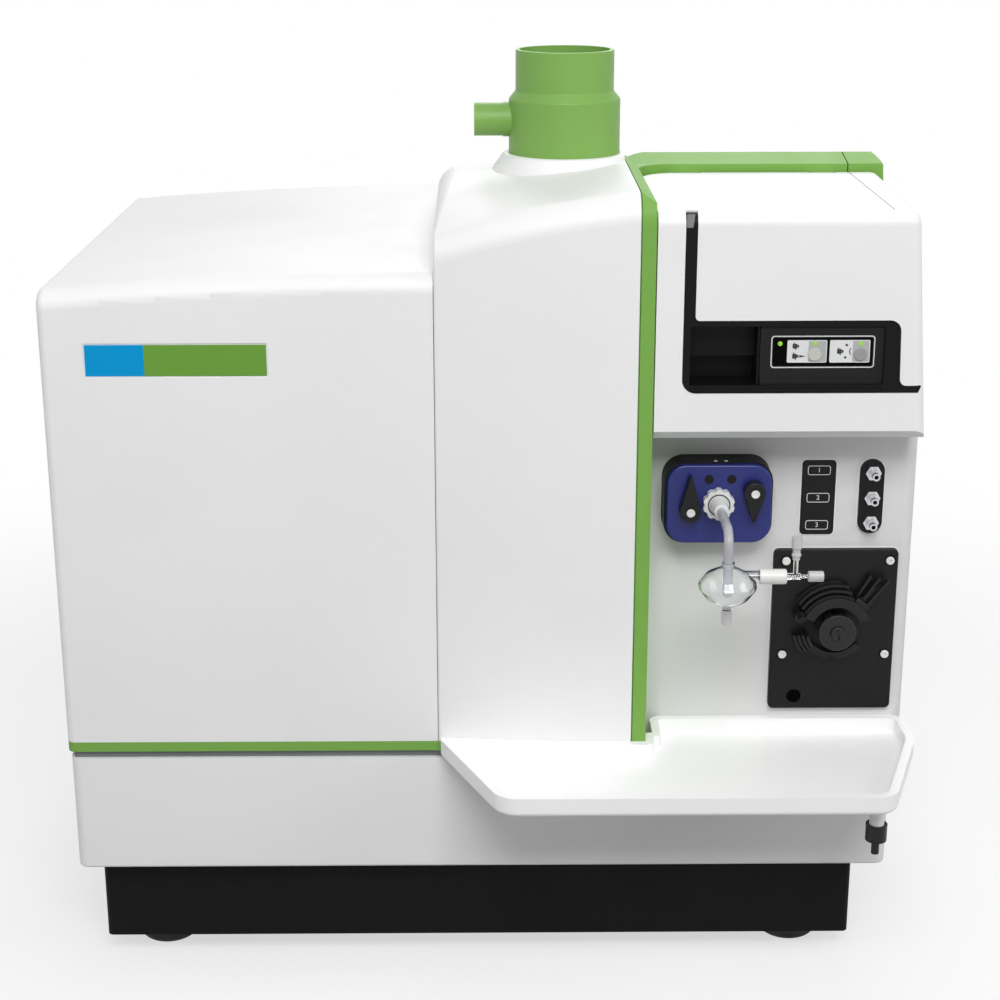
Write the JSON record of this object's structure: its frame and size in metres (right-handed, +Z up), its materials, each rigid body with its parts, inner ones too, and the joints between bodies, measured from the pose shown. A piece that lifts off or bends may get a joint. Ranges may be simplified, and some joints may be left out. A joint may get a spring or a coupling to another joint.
{
  "type": "plasma mass spectrometer",
  "caption": "Benchtop plasma mass spectrometer with a lift-up torch bay hood, front sample line, roller pump, drip tray and a roof exhaust spigot.",
  "frame": {"origin": "on the bench under the middle of the bounding box", "axes": "+X to the viewer's right, +Y from the front to the back, +Z up; the operator stands at -Y"},
  "size_m": [0.81, 0.7, 0.874],
  "materials": {
    "white_cover": "fine textured",
    "lower_white": "satin",
    "black_base": "satin",
    "rubber_black": "matt",
    "green_plastic": "satin",
    "green_duct": "satin",
    "grey_rail": "satin",
    "bezel_black": "fine textured",
    "panel_grey": "satin",
    "button_green": "satin",
    "button_red": "satin",
    "lamp_green": "clear",
    "mount_blue": "satin",
    "mount_black": "satin",
    "lever_black": "satin",
    "nut_grey": "satin",
    "white_polymer": "gloss",
    "clear_glass": "clear",
    "quartz": "clear",
    "badge_blue": "satin",
    "steel": "brushed",
    "fitting_steel": "polished",
    "aluminium_block": "machined",
    "copper_coil": "polished",
    "pump_black": "satin",
    "pump_clamp_grey": "satin",
    "fan_black": "matt",
    "box_metal": "galvanised",
    "frame_metal": "galvanised"
  },
  "bodies": {
    "instrument": {"rubber_feet": "rubber_black", "base_plinth": "black_base", "chassis_frame": "frame_metal", "lower_cover": "lower_white", "shadow_rail": "grey_rail", "base_trim": "green_plastic", "left_cabinet_cover": "white_cover", "name_badge": "badge_blue", "tower_cover": "white_cover", "exhaust_pipe": "green_duct", "exhaust_plenum": "box_metal", "accent_band": "green_plastic", "accent_band_end": "green_plastic", "hood_end_cap": "white_cover", "hood_hinges": "steel", "right_body_cover": "white_cover", "right_rear_cover": "white_cover", "rear_panel": "lower_white", "fan_frame": "fan_black", "power_entry": "fan_black", "drip_tray": "white_cover", "tray_drain_cap": "lever_black", "gas_plates": "mount_black", "gas_fittings": "fitting_steel", "pump_plate": "pump_black", "pump_screws": "white_polymer", "pump_shoe": "pump_clamp_grey", "pump_motor": "pump_black", "torch_box": "steel", "load_coil": "copper_coil", "interface_housing": "aluminium_block", "sampler_cone": "fitting_steel", "vacuum_chamber": "aluminium_block", "ion_optics": "steel", "turbo_pump": "steel", "rf_generator": "aluminium_block", "electronics_boxes": "box_metal"},
    "hood": {"hood_cover": "white_cover", "hood_bezel": "bezel_black", "control_panel": "panel_grey", "panel_lamps": "lamp_green"},
    "start_key": {"start_button": "button_green"},
    "stop_key": {"stop_button": "button_red"},
    "torch_cassette": {"torch_mount_plate": "mount_blue", "torch_mount_body": "mount_black", "injector_nut": "nut_grey", "torch": "quartz", "transfer_elbow": "white_polymer", "spray_chamber": "clear_glass", "chamber_drain_cap": "white_polymer", "nebulizer": "clear_glass", "nebulizer_sleeve": "white_polymer", "nebulizer_fittings": "lever_black"},
    "left_lever": {"lock_lever_left": "lever_black"},
    "right_lever": {"lock_lever_right": "lever_black"},
    "pump_head": {"pump_rotor": "nut_grey"},
    "pump_clamp": {"pump_cassette": "pump_clamp_grey", "pump_levers": "lever_black"},
    "fan": {"fan_rotor": "fan_black"},
    "rocker": {"switch_rocker": "lever_black"}
  },
  "joints": [
    {"name": "hood_lift", "type": "hinge", "parent": "instrument", "child": "hood", "pos_m": [0, 0.016, 0.75], "axis": [-1, 0, 0], "range_deg": [0, 70]},
    {"name": "start_press", "type": "slide", "parent": "hood", "child": "start_key", "axis": [0, 1, 0], "range_m": [0, 0.0008], "stiffness_N_per_m": 900},
    {"name": "stop_press", "type": "slide", "parent": "hood", "child": "stop_key", "axis": [0, 1, 0], "range_m": [0, 0.0008], "stiffness_N_per_m": 900},
    {"name": "cassette_slide", "type": "slide", "parent": "instrument", "child": "torch_cassette", "axis": [0, -1, 0], "range_m": [0, 0.11]},
    {"name": "left_lock", "type": "hinge", "parent": "torch_cassette", "child": "left_lever", "pos_m": [0.1855, -0.205, 0.473], "axis": [0, -1, 0], "range_deg": [0, 90]},
    {"name": "right_lock", "type": "hinge", "parent": "torch_cassette", "child": "right_lever", "pos_m": [0.2447, -0.205, 0.491], "axis": [0, -1, 0], "range_deg": [0, 90]},
    {"name": "pump_spin", "type": "hinge", "parent": "instrument", "child": "pump_head", "pos_m": [0.33, -0.1887, 0.348], "axis": [0, -1, 0], "continuous": true},
    {"name": "clamp_lift", "type": "hinge", "parent": "instrument", "child": "pump_clamp", "pos_m": [0.296, -0.1837, 0.36], "axis": [0, -1, 0], "range_deg": [0, 55]},
    {"name": "fan_spin", "type": "hinge", "parent": "instrument", "child": "fan", "pos_m": [0.33, 0.292, 0.56], "axis": [0, 1, 0], "continuous": true},
    {"name": "power_rock", "type": "hinge", "parent": "instrument", "child": "rocker", "pos_m": [-0.285, 0.303, 0.3], "axis": [1, 0, 0], "range_deg": [-7, 7]}
  ]
}
